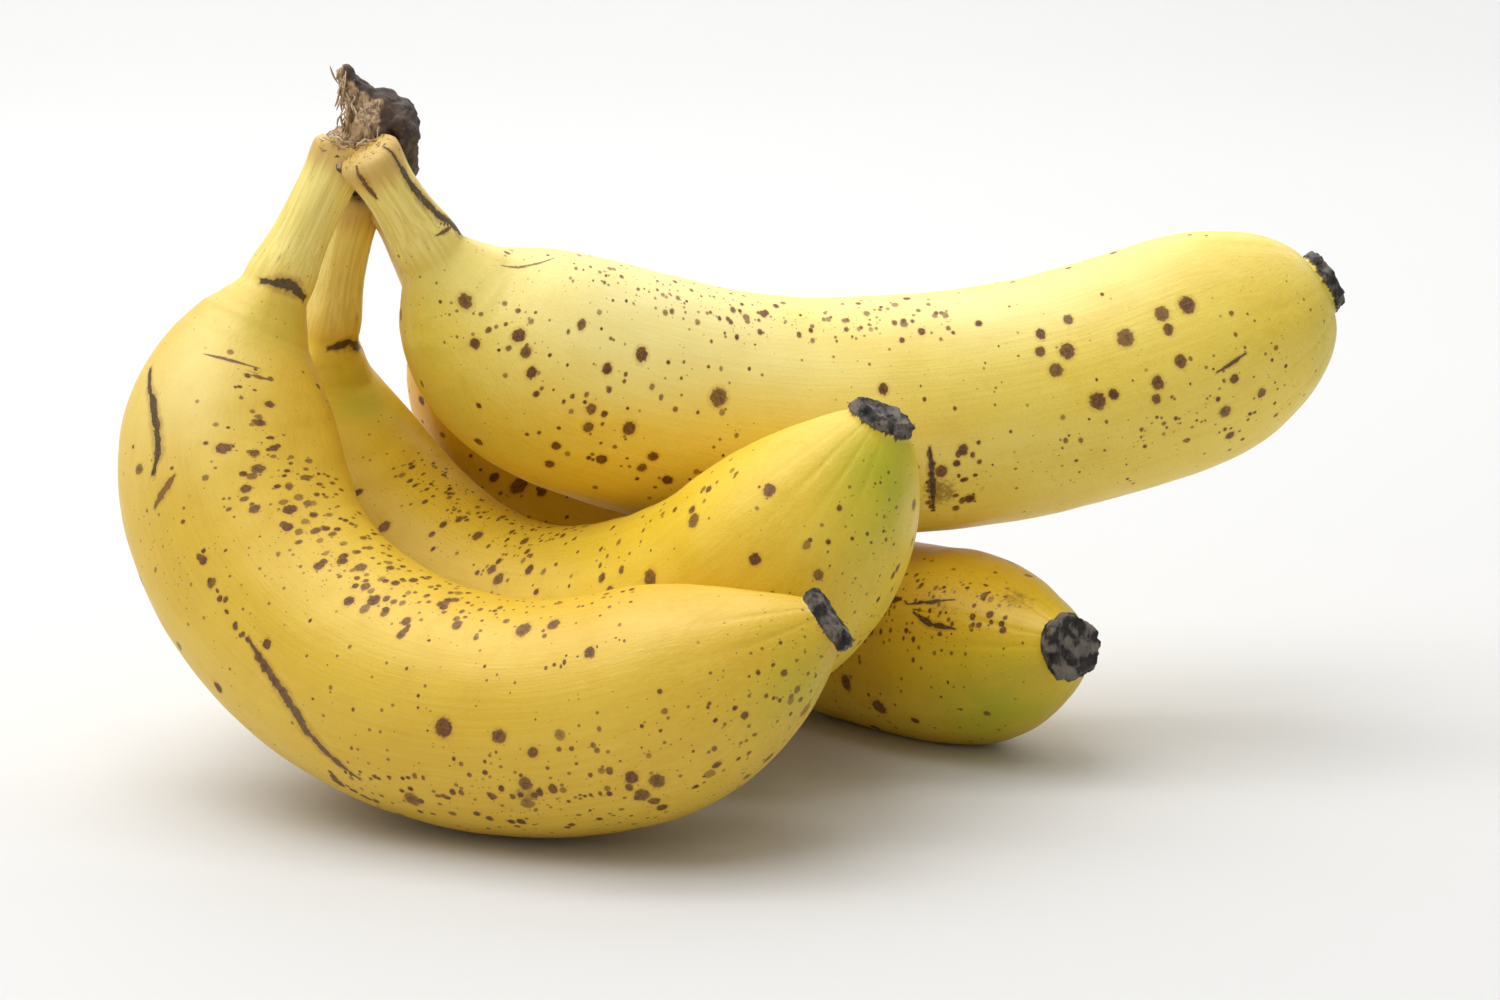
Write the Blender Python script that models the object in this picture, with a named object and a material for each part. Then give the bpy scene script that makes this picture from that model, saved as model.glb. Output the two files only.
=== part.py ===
"""A bunch of four ripe bananas on one crown, resting on three of its fruit.

Metres, +Z up. The ground is z = 0 and the origin is the middle of the bunch's footprint.
Each banana is built along its own stalk, curving towards its local +X. It is hung from the
crown, tipped until it rests on the ground or on a neighbour, and swung until it touches the
fruit beside it.
"""

from typing import NamedTuple

import bmesh
import bpy
import numpy as np
from mathutils import Matrix, Vector

MM = 0.001

# Fit between pieces
CLEARANCE = 0.3 * MM
SAG = 0.4 * MM  # how far the skin flattens where a fruit carries weight

# Stalk of every banana
STALK_RADIUS = 4.15 * MM
STALK_GAP = 0.4 * MM
NECK_LENGTH = 30.0 * MM  # of the bend where stalk turns into fruit
NECK_START = 8.0 * MM  # before the end of the stalk

# Fruit of every banana
SHOULDER_LENGTH = 55.0 * MM
SHOULDER_LEAD = 5.5 * MM
SHOULDER_FULLNESS = 3.7
TAPER_LENGTH = 37.0 * MM
TAPER_FULLNESS = 2.0
TAPER_FLARE = 1.1
SNOUT_LENGTH = 3.0 * MM
SNOUT_RADIUS = 6.2 * MM
RIDGES = 5
RIDGE_RISE = 0.022  # of the radius, along the middle
END_RIDGE_RISE = 0.040  # of the radius, at shoulder and taper

# Dried blossom end
BLOSSOM_RADIUS = 5.7 * MM
BLOSSOM_LENGTH = 4.0 * MM

# Crown
CROWN_HEIGHT = 108.7 * MM  # of the top of the highest stalk over the ground
CROWN_HALF_WIDTH = 9.0 * MM
CROWN_HALF_DEPTH = 17.0 * MM
CROWN_HALF_HEIGHT = 8.5 * MM
CROWN_RISE = 3.0 * MM  # of its middle over the middle of the stalk tops
CROWN_LUMPS = 0.7 * MM
STUB_RADIUS = 4.6 * MM
STUB_TIP_RADIUS = 2.4 * MM
STUB_LENGTH = 18.0 * MM
STUB_SETBACK = 4.0 * MM  # of its foot from the front of the crown's middle
SOCKET_DEPTH = 12.0 * MM

# Mesh
SIDES = 24
RINGS = 40
SPINE_POINTS = 120

RIPE_YELLOW = (0.80, 0.58, 0.07, 1.0)
DEEP_YELLOW = (0.74, 0.50, 0.06, 1.0)
CROWN_BROWN = (0.070, 0.045, 0.028, 1.0)
BLOSSOM_BLACK = (0.040, 0.035, 0.030, 1.0)


class Banana(NamedTuple):
    """Lengths in metres, angles in degrees, column and row in stalk spacings."""

    name: str
    column: float
    row: float
    drop: float
    heading: float
    pitch: float
    roll: float
    stalk: float
    body: float
    radius: float
    neck_bend: float
    body_bend: float
    curl: float  # under 1 gathers the bend towards the shoulder
    sweep: float  # sideways turn of the blossom end
    colour: tuple


FRONT = Banana(
    "banana_front", -0.55, -0.75, 0.0, 208.0, -62.5, -129.5,
    34.0 * MM, 154.0 * MM, 20.0 * MM, -8.0, 163.0, 0.72, 0.0, RIPE_YELLOW,
)
SECOND = Banana(
    "banana_second", -0.35, 1.15, 10.0 * MM, 149.5, -71.0, -183.5,
    34.0 * MM, 159.0 * MM, 21.0 * MM, 3.0, 173.5, 0.67, 0.0, RIPE_YELLOW,
)
TOP = Banana(
    "banana_top", 0.35, -1.25, 2.5 * MM, 30.5, -56.5, 27.5,
    29.0 * MM, 173.0 * MM, 21.5 * MM, 9.5, 72.0, 0.5, -20.5, RIPE_YELLOW,
)
LOW = Banana(
    "banana_low", 0.65, 0.8, 9.5 * MM, 68.5, -49.0, 107.5,
    41.5 * MM, 151.5 * MM, 18.5 * MM, -2.5, 131.5, 0.62, 0.0, DEEP_YELLOW,
)


def principled(name, colour, roughness):
    material = bpy.data.materials.new(name)
    material.use_nodes = True
    shader = material.node_tree.nodes["Principled BSDF"]
    shader.inputs["Base Color"].default_value = colour
    shader.inputs["Roughness"].default_value = roughness
    shader.inputs["Metallic"].default_value = 0.0
    material.diffuse_color = colour
    return material


def add_object(name, mesh, collection, parent, matrix=None):
    obj = bpy.data.objects.new(name, mesh)
    collection.objects.link(obj)
    obj.parent = parent
    if matrix is not None:
        obj.matrix_basis = matrix
    return obj


def finish_mesh(name, bm):
    bmesh.ops.recalc_face_normals(bm, faces=bm.faces)
    mesh = bpy.data.meshes.new(name)
    bm.to_mesh(mesh)
    bm.free()
    mesh.shade_smooth()
    mesh.set_sharp_from_angle(angle=np.radians(50.0))
    return mesh


def spine(banana, count):
    """Distance, centre, turn and sideways sweep of the centreline in the banana's own frame."""
    length = banana.stalk + banana.body
    along = np.linspace(0.0, length, count)
    neck = np.clip((along - banana.stalk + NECK_START) / NECK_LENGTH, 0.0, 1.0)
    fruit = np.clip((along - banana.stalk) / banana.body, 0.0, 1.0)
    turn = np.radians(banana.neck_bend) * neck**2 * (3.0 - 2.0 * neck)
    turn += np.radians(banana.body_bend) * fruit**banana.curl
    sweep = np.radians(banana.sweep) * fruit**3
    heading = np.stack([np.sin(turn) * np.cos(sweep), np.sin(sweep), np.cos(turn) * np.cos(sweep)], -1)
    steps = 0.5 * (heading[1:] + heading[:-1]) * np.diff(along)[:, None]
    centre = np.concatenate([np.zeros((1, 3)), np.cumsum(steps, axis=0)])
    return along, centre, turn, sweep


def cross_axes(turn, sweep):
    """Inward and sideways directions square to the centreline."""
    inward = np.stack([np.cos(turn), np.zeros_like(turn), -np.sin(turn)], -1)
    across = np.stack([-np.sin(turn) * np.sin(sweep), np.cos(sweep), -np.cos(turn) * np.sin(sweep)], -1)
    return inward, across


def mean_radius(banana, along):
    """Thin stalk, full shoulder, even middle, tapering to a short snout."""
    length = banana.stalk + banana.body
    rise = np.clip((along - banana.stalk + SHOULDER_LEAD) / SHOULDER_LENGTH, 0.0, 1.0)
    fall = np.clip((along - length + SNOUT_LENGTH + TAPER_LENGTH) / TAPER_LENGTH, 0.0, 1.0)
    shoulder = STALK_RADIUS + (banana.radius - STALK_RADIUS) * (
        1.0 - (1.0 - rise) ** SHOULDER_FULLNESS
    )
    taper = SNOUT_RADIUS + (banana.radius - SNOUT_RADIUS) * (
        1.0 - fall**TAPER_FULLNESS
    ) ** TAPER_FLARE
    return np.minimum(shoulder, taper)


def ridge_rise(banana, along):
    """Share of the radius by which the ridges stand out: none at the crown, most at the ends."""
    fruit = (along - banana.stalk) / banana.body
    ends = np.exp(-(((fruit - 0.10) / 0.12) ** 2)) + np.exp(-(((fruit - 0.86) / 0.10) ** 2))
    start = np.clip(along / (0.5 * banana.stalk), 0.0, 1.0)
    return start * (RIDGE_RISE + (END_RIDGE_RISE - RIDGE_RISE) * np.clip(ends, 0.0, 1.0))


def stations(banana, count):
    """Ring positions spaced evenly along the skin's outline."""
    along = np.linspace(0.0, banana.stalk + banana.body, 600)
    radius = mean_radius(banana, along)
    outline = np.concatenate([[0.0], np.cumsum(np.hypot(np.diff(along), 2.0 * np.diff(radius)))])
    return np.interp(np.linspace(0.0, outline[-1], count), outline, along)


def skin_rings(banana):
    """Points of the skin, ring by ring, in the banana's own frame."""
    fine, centres, turns, sweeps = spine(banana, 800)
    along = stations(banana, RINGS)
    centre = np.stack([np.interp(along, fine, centres[:, k]) for k in range(3)], -1)
    inward, across = cross_axes(np.interp(along, fine, turns), np.interp(along, fine, sweeps))
    angle = 2.0 * np.pi * np.arange(SIDES) / SIDES
    ridge = 1.0 + ridge_rise(banana, along)[:, None] * np.cos(RIDGES * angle)[None, :]
    radius = mean_radius(banana, along)[:, None] * ridge
    offset = (radius * np.cos(angle))[..., None] * inward[:, None]
    offset += (radius * np.sin(angle))[..., None] * across[:, None]
    return centre[:, None] + offset


def hanging_frame(banana):
    """Rotation whose Z runs down the stalk and whose X points into the curve."""
    heading = np.radians(banana.heading)
    pitch = np.radians(banana.pitch)
    roll = np.radians(banana.roll)
    down = Vector((np.cos(pitch) * np.cos(heading), np.cos(pitch) * np.sin(heading), np.sin(pitch)))
    side = down.cross(Vector((0.0, 0.0, 1.0))).normalized()
    over = side.cross(down)
    curve = over * np.cos(roll) + side * np.sin(roll)
    across = down.cross(curve)
    return Matrix((curve, across, down)).transposed()


class Hung:
    """One banana on the crown, with the turn that seats it."""

    def __init__(self, banana, seat):
        self.banana = banana
        self.seat = np.array(seat)
        self.frame = np.array(hanging_frame(banana))
        self.rings = skin_rings(banana)
        along, self.centres, _, _ = spine(banana, SPINE_POINTS)
        self.reach = mean_radius(banana, along) * (1.0 + ridge_rise(banana, along))

    def skin(self):
        return self.rings.reshape(-1, 3) @ self.frame.T + self.seat

    def middle(self):
        return self.centres @ self.frame.T + self.seat

    def lowest(self):
        return self.skin()[:, 2].min()

    def nearest(self, other):
        """Gap to another banana, with the point of this skin and the middle point it faces."""
        skin = self.skin()
        middle = other.middle()
        gaps = np.linalg.norm(skin[:, None] - middle[None], axis=2) - other.reach[None]
        i, j = np.unravel_index(gaps.argmin(), gaps.shape)
        return gaps[i, j], skin[i], middle[j]

    def turn(self, axis, angle):
        self.frame = np.array(Matrix.Rotation(angle, 3, Vector(axis))) @ self.frame

    def tip_axis(self):
        """Level axis that lifts the lowest point as the banana turns about its seat."""
        skin = self.skin()
        away = skin[skin[:, 2].argmin()] - self.seat
        return Vector((away[1], -away[0], 0.0)).normalized()

    def matrix(self):
        return Matrix.Translation(self.seat) @ Matrix(self.frame).to_4x4()


def settle(hung, axis, height_over, step=np.radians(0.5)):
    """Turns a banana about the axis, through its seat, until height_over() is zero."""
    sign = 1.0 if height_over() < 0.0 else -1.0
    for _ in range(120):
        hung.turn(axis, sign * step)
        if height_over() * sign >= 0.0:
            break
    inside, outside, turned = -sign * step, 0.0, 0.0
    for _ in range(24):
        middle = 0.5 * (inside + outside)
        hung.turn(axis, middle - turned)
        turned = middle
        if height_over() * sign >= 0.0:
            outside = middle
        else:
            inside = middle
    hung.turn(axis, outside - turned)


def nearest_gap(hung, others):
    return min(hung.nearest(other)[0] for other in others)


def rest_on_ground(hung):
    settle(hung, hung.tip_axis(), lambda: hung.lowest() + SAG)


def rest_on_fruit(hung, others):
    settle(hung, hung.tip_axis(), lambda: nearest_gap(hung, others) - CLEARANCE)


def slide_against(hung, other):
    """Turns straight to or from the other fruit, about an axis that keeps the ground contact."""
    _, point, middle = hung.nearest(other)
    axis = Vector(point - hung.seat).cross(Vector(point - middle)).normalized()
    tip = hung.tip_axis()
    axis = (axis - axis.dot(tip) * tip).normalized()
    settle(hung, axis, lambda: nearest_gap(hung, [other]) - CLEARANCE)


def hang_all():
    spacing = 2.0 * STALK_RADIUS + STALK_GAP
    hung = {}
    for banana in (FRONT, SECOND, TOP, LOW):
        seat = (banana.column * spacing, banana.row * spacing, CROWN_HEIGHT - banana.drop)
        hung[banana.name] = Hung(banana, seat)
    front, second, top, low = hung.values()
    rest_on_ground(low)
    for hanging, beside in ((second, low), (front, second)):
        for _ in range(4):
            rest_on_ground(hanging)
            slide_against(hanging, beside)
    rest_on_fruit(top, [low, second, front])
    return hung


def banana_mesh(name, rings):
    """Skin lofted between its rings, from the round stalk to the five-sided fruit."""
    bm = bmesh.new()
    loops = [[bm.verts.new(point) for point in ring] for ring in rings]
    for first, second in zip(loops, loops[1:]):
        for i in range(SIDES):
            j = (i + 1) % SIDES
            bm.faces.new((first[i], first[j], second[j], second[i]))
    bm.faces.new(loops[0])
    bm.faces.new(loops[-1])
    return finish_mesh(name, bm)


def end_frame(banana):
    """Place and heading of the blossom end in the banana's own frame."""
    _, centres, turns, sweeps = spine(banana, 800)
    inward, across = cross_axes(turns[-1], sweeps[-1])
    onward = np.cross(inward, across)
    frame = Matrix((inward, across, onward)).transposed().to_4x4()
    return Matrix.Translation(centres[-1]) @ frame


def blossom_mesh(name):
    """Short woody knob, a little wider where the flower broke off."""
    bm = bmesh.new()
    bmesh.ops.create_cone(
        bm,
        cap_ends=True,
        segments=16,
        radius1=0.92 * BLOSSOM_RADIUS,
        radius2=BLOSSOM_RADIUS,
        depth=BLOSSOM_LENGTH,
    )
    bmesh.ops.translate(bm, verts=bm.verts, vec=(0.0, 0.0, 0.5 * BLOSSOM_LENGTH + CLEARANCE))
    far = [e for e in bm.edges if all(v.co.z > BLOSSOM_LENGTH * 0.9 for v in e.verts)]
    bmesh.ops.bevel(
        bm, geom=far, offset=0.3 * BLOSSOM_LENGTH, segments=2, profile=0.6, affect="EDGES"
    )
    return finish_mesh(name, bm)


def lump(point):
    """Smooth bumps over the crown, as it shrinks while it dries."""
    x, y, z = (1000.0 * value for value in point)
    return np.sin(0.9 * x + 0.4) * np.cos(0.7 * y) + 0.6 * np.sin(1.1 * z + 0.5 * x)


def crown_mesh():
    """Shrunken cushion of tissue that joins the stalks."""
    bm = bmesh.new()
    bmesh.ops.create_icosphere(bm, subdivisions=4, radius=1.0)
    for vert in bm.verts:
        out = vert.co.normalized()
        size = Vector((CROWN_HALF_WIDTH, CROWN_HALF_DEPTH, CROWN_HALF_HEIGHT))
        place = Vector(a * b for a, b in zip(out, size))
        vert.co = place + out * CROWN_LUMPS * lump(place)
    return finish_mesh("crown", bm)


def crown_frame(hung):
    """Middle and slope of the cushion, from the tops of the stalks it joins."""
    seats = np.array([one.seat for one in hung.values()])
    order = seats[:, 1].argsort()
    front = seats[order[:2]].mean(axis=0)
    back = seats[order[2:]].mean(axis=0)
    slope = np.arctan2(back[2] - front[2], back[1] - front[1])
    tilt = Matrix.Rotation(slope, 4, "X")
    return Matrix.Translation(seats.mean(axis=0)) @ tilt @ Matrix.Translation((0.0, 0.0, CROWN_RISE))


def stub_mesh():
    """What is left of the torn bunch stem on top of the crown."""
    bm = bmesh.new()
    bmesh.ops.create_cone(
        bm,
        cap_ends=True,
        segments=18,
        radius1=STUB_RADIUS,
        radius2=STUB_TIP_RADIUS,
        depth=STUB_LENGTH,
    )
    bmesh.ops.translate(bm, verts=bm.verts, vec=(0.0, 0.0, 0.5 * STUB_LENGTH))
    return finish_mesh("crown_stub", bm)


def socket_mesh(name):
    """Room for one stalk, its own outline grown by the clearance."""
    bm = bmesh.new()
    bmesh.ops.create_cone(
        bm,
        cap_ends=True,
        segments=SIDES,
        radius1=STALK_RADIUS * 1.03 + CLEARANCE,
        radius2=STALK_RADIUS * 1.03 + CLEARANCE,
        depth=SOCKET_DEPTH + CLEARANCE,
    )
    bmesh.ops.translate(bm, verts=bm.verts, vec=(0.0, 0.0, 0.5 * (SOCKET_DEPTH - CLEARANCE)))
    return finish_mesh(name, bm)


def ground_mesh(reach):
    bm = bmesh.new()
    bmesh.ops.create_cube(bm, size=1.0)
    bmesh.ops.scale(bm, verts=bm.verts, vec=(4.0 * reach, 4.0 * reach, 0.02))
    bmesh.ops.translate(bm, verts=bm.verts, vec=(0.0, 0.0, -0.01))
    return finish_mesh("ground", bm)


def hide(obj):
    obj.hide_render = True
    obj.display_type = "WIRE"


def cut(obj, cutter, operation="DIFFERENCE"):
    modifier = obj.modifiers.new(cutter.name, "BOOLEAN")
    modifier.operation = operation
    modifier.solver = "EXACT"
    modifier.object = cutter


def centre_on_origin(root, bunch):
    """Moves the bunch so that the middle of its footprint is the origin."""
    meshes = [obj for obj in bunch.objects if obj.type == "MESH"]
    corners = np.array([obj.matrix_basis @ vert.co for obj in meshes for vert in obj.data.vertices])
    middle = 0.5 * (corners.min(axis=0) + corners.max(axis=0))
    root.location = (-middle[0], -middle[1], 0.0)


def build():
    for obj in list(bpy.data.objects):
        bpy.data.objects.remove(obj, do_unlink=True)
    scene = bpy.context.scene
    bunch = bpy.data.collections.new("banana_bunch")
    cutters = bpy.data.collections.new("cutters")
    scene.collection.children.link(bunch)
    scene.collection.children.link(cutters)
    root = bpy.data.objects.new("bunch_origin", None)
    bunch.objects.link(root)

    hung = hang_all()
    reach = max(one.banana.stalk + one.banana.body for one in hung.values())
    ground = add_object("ground_plane", ground_mesh(reach), cutters, root)
    hide(ground)
    blossom_skin = principled("blossom_end", BLOSSOM_BLACK, 0.9)
    sockets = []
    for name, one in hung.items():
        fruit = add_object(name, banana_mesh(name, one.rings), bunch, root, one.matrix())
        fruit.data.materials.append(principled(name + "_peel", one.banana.colour, 0.42))
        if one.lowest() < 0.0:
            cut(fruit, ground)
        tip_name = name.replace("banana", "blossom_end")
        tip_place = one.matrix() @ end_frame(one.banana)
        tip = add_object(tip_name, blossom_mesh(tip_name), bunch, root, tip_place)
        tip.data.materials.append(blossom_skin)
        socket = add_object(name + "_socket", socket_mesh(name + "_socket"), cutters, root, one.matrix())
        hide(socket)
        sockets.append(socket)

    place = crown_frame(hung)
    crown = add_object("crown", crown_mesh(), bunch, root, place)
    crown.data.materials.append(principled("crown_tissue", CROWN_BROWN, 0.85))
    foot = Matrix.Translation((0.0, -STUB_SETBACK, 0.0))
    stub = add_object("crown_stub", stub_mesh(), cutters, root, place @ foot)
    hide(stub)
    cut(crown, stub, "UNION")
    for socket in sockets:
        cut(crown, socket)
    centre_on_origin(root, bunch)


build()
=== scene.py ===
"""Looks of a bunch of four ripe bananas on one dried crown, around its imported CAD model.

Lengths are in millimetres until a mesh is made, and then in metres. Each fruit has its own
skin coordinates: along, from the crown down the centreline, and around, the angle from the
inside of the curve.
"""

from typing import NamedTuple

import bpy
import numpy as np
from mathutils import Matrix, Vector


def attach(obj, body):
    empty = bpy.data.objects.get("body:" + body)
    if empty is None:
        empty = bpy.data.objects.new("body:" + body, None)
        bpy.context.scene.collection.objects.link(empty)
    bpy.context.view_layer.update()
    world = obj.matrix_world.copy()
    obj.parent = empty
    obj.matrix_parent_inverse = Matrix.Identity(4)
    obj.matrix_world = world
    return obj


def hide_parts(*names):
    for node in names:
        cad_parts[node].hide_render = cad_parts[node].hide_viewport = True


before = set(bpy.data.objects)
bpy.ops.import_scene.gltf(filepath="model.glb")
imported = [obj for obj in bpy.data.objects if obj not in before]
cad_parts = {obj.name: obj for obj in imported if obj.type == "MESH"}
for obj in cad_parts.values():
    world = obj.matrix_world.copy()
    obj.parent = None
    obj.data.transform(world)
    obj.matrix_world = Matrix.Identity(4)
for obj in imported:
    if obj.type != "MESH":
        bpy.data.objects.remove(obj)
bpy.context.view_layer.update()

MM = 0.001

# Mesh of a fruit, and the free strip left round its flat map
RINGS = 340
SIDES = 176
MAP_EDGE = 0.004

# Marks: layers that hold them, how near two in one layer may be, and a factor on every size
SPOT_LAYERS = 5
LAYER_ROOM = 3.0
SPOT_GROWTH = 1.2
FAR_OFF = 50.0

# Centreline: the neck's bend starts this far above the body and is this long
NECK_START = 8.0
NECK_LENGTH = 30.0
EASE = 0.04

# Outline: the shoulder from the stalk, and the taper to the blossom end
STALK_RADIUS = 4.8
SHOULDER_LENGTH = 55.0
SHOULDER_FULLNESS = 3.9
FILLET = 0.06
TAPER_FULLNESS = 2.0
SNOUT_LENGTH = 1.0
SNOUT_RADIUS = 5.6

# Relief of the skin: blunt ridges, lumps in two sizes, and furrows at the tip
RIDGES = 5
RIDGE_WIDTH = 0.36
LUMP_HEIGHT = 0.32
SMALL_LUMP_HEIGHT = 0.07
FURROW_DEPTH = 0.22
WAVE_COUNT = 14

# Where a fruit carries weight: skin lower than the reach is flattened, down to the gap, in mm
GROUND_REACH = 0.6
GROUND_GAP = 0.02
GROUND_SHARE = 0.966

CROWN_VOXEL = 0.38
FIBRE_COUNT = 120
FIBRE_TOP = 123.4

# Camera: degrees above level, mm from its target, lens in mm, and how far the view's middle
# lies to the right of the target and below it, in mm
CAMERA_RAISED = 12.373
CAMERA_DISTANCE = 752.19
CAMERA_LENS = 108.315
CAMERA_TARGET = (-21.208, -40.735, 60.0)
VIEW_RIGHT = 16.667
VIEW_DOWN = 3.333


class Fruit(NamedTuple):
    """Sizes in millimetres and angles in degrees, fitted a few mm closer to the photo than in CAD."""

    name: str
    seat: tuple
    heading: float
    pitch: float
    roll: float
    stalk: float
    body: float
    radius: float
    neck_bend: float
    body_bend: float
    curl: float
    sweep: float
    lead: float
    taper: float
    flare: float
    top: float
    seed: int


FRONT = Fruit("front", (-74.5, 3.8, 109.0), -160.0, -62.6, -131.0,
              34.0, 158.7, 19.9, -14.4, 166.4, 0.51, -10.5, 7.5, 36.0, 0.95, 1.0, 11)
SECOND = Fruit("second", (-73.5, 19.8, 99.2), 137.1, -72.7, 169.2,
               34.0, 159.7, 20.6, -3.8, 177.4, 0.51, -12.7, 7.0, 35.8, 0.85, 0.0, 22)
TOP = Fruit("top", (-68.1, -1.3, 106.0), 33.4, -55.7, 32.9,
            28.0, 168.6, 21.6, 12.8, 73.5, 0.46, -12.6, 10.0, 30.0, 0.62, 4.5, 33)
LOW = Fruit("low", (-66.6, 17.1, 98.6), 68.2, -50.0, 104.8,
            41.5, 154.4, 17.6, -2.4, 129.4, 0.51, 3.4, 7.0, 33.0, 1.0, 0.0, 44)


# ---- shape of a fruit


def smooth(low, high, value):
    """Eased rise from 0 at low to 1 at high."""
    t = np.clip((value - low) / (high - low), 0.0, 1.0)
    return t * t * (3.0 - 2.0 * t)


def waves(points, size, seed):
    """Soft seeded bumps from -1 to 1 or so, about size across, at these points."""
    rng = np.random.default_rng(seed)
    turn = rng.normal(size=(WAVE_COUNT, points.shape[-1]))
    turn /= np.linalg.norm(turn, axis=1, keepdims=True)
    pace = 2.0 * np.pi / (size * rng.uniform(0.7, 1.6, WAVE_COUNT))
    phase = rng.uniform(0.0, 2.0 * np.pi, WAVE_COUNT)
    total = sum(np.sin(points @ turn[i] * pace[i] + phase[i]) for i in range(WAVE_COUNT))
    return total * np.sqrt(2.0 / WAVE_COUNT) * 0.6


def turned(around, start):
    """Angle from start to around the short way, in radians."""
    return np.angle(np.exp(1j * (around - start)))


def axes_of(fruit):
    """Columns: into the curve, across it, and down the stalk."""
    heading, pitch, roll = np.radians((fruit.heading, fruit.pitch, fruit.roll))
    down = np.array((np.cos(pitch) * np.cos(heading), np.cos(pitch) * np.sin(heading), np.sin(pitch)))
    side = np.cross(down, (0.0, 0.0, 1.0))
    side /= np.linalg.norm(side)
    over = np.cross(side, down)
    curve = over * np.cos(roll) + side * np.sin(roll)
    return np.stack([curve, np.cross(down, curve), down], axis=1)


def eased(share, curl):
    """Share of the bend at this share of the body: a power, eased in so that the line has no kink."""
    return ((share + EASE) ** curl - EASE**curl) / ((1.0 + EASE) ** curl - EASE**curl)


class Spine:
    """Centreline of a fruit in the row frame, with its inward and sideways directions."""

    def __init__(self, fruit):
        length = fruit.stalk + fruit.body
        self.along = np.linspace(0.0, length, 1200)
        neck = np.clip((self.along - fruit.stalk + NECK_START) / NECK_LENGTH, 0.0, 1.0)
        share = np.clip((self.along - fruit.stalk) / fruit.body, 0.0, 1.0)
        turn = np.radians(fruit.neck_bend) * neck**2 * (3.0 - 2.0 * neck)
        turn += np.radians(fruit.body_bend) * eased(share, fruit.curl)
        sweep = np.radians(fruit.sweep) * share**3
        ahead = np.stack([np.sin(turn) * np.cos(sweep), np.sin(sweep), np.cos(turn) * np.cos(sweep)], -1)
        steps = 0.5 * (ahead[1:] + ahead[:-1]) * np.diff(self.along)[:, None]
        centre = np.concatenate([np.zeros((1, 3)), np.cumsum(steps, axis=0)])
        inward = np.stack([np.cos(turn), np.zeros_like(turn), -np.sin(turn)], -1)
        across = np.stack([-np.sin(turn) * np.sin(sweep), np.cos(sweep), -np.cos(turn) * np.sin(sweep)], -1)
        axes = axes_of(fruit)
        self.centre = centre @ axes.T + np.array(fruit.seat)
        self.inward = inward @ axes.T
        self.across = across @ axes.T

    def at(self, values, along):
        """Values along the line, carried straight on above the seat."""
        found = np.stack([np.interp(along, self.along, values[:, k]) for k in range(3)], -1)
        pace = (values[1] - values[0]) / (self.along[1] - self.along[0])
        return found + np.minimum(along, 0.0)[..., None] * pace


def mean_radius(fruit, along):
    """Outline: the lesser of the shoulder, which flares at the neck, and the taper."""
    length = fruit.stalk + fruit.body
    rise = np.clip((along - fruit.stalk + fruit.lead) / SHOULDER_LENGTH, 0.0, 1.0)
    fall = np.clip((along - length + SNOUT_LENGTH + fruit.taper) / fruit.taper, 0.0, 1.0)
    rise = rise**2 * (1.0 + FILLET) / (rise + FILLET)
    shoulder = STALK_RADIUS + (fruit.radius - STALK_RADIUS) * (1.0 - (1.0 - rise) ** SHOULDER_FULLNESS)
    taper = SNOUT_RADIUS + (fruit.radius - SNOUT_RADIUS) * (1.0 - fall**TAPER_FULLNESS) ** fruit.flare
    flare = 1.3 * np.exp(-(((along - fruit.stalk + fruit.lead + 1.0) / 6.5) ** 2))
    return np.minimum(shoulder + flare, taper)


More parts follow.
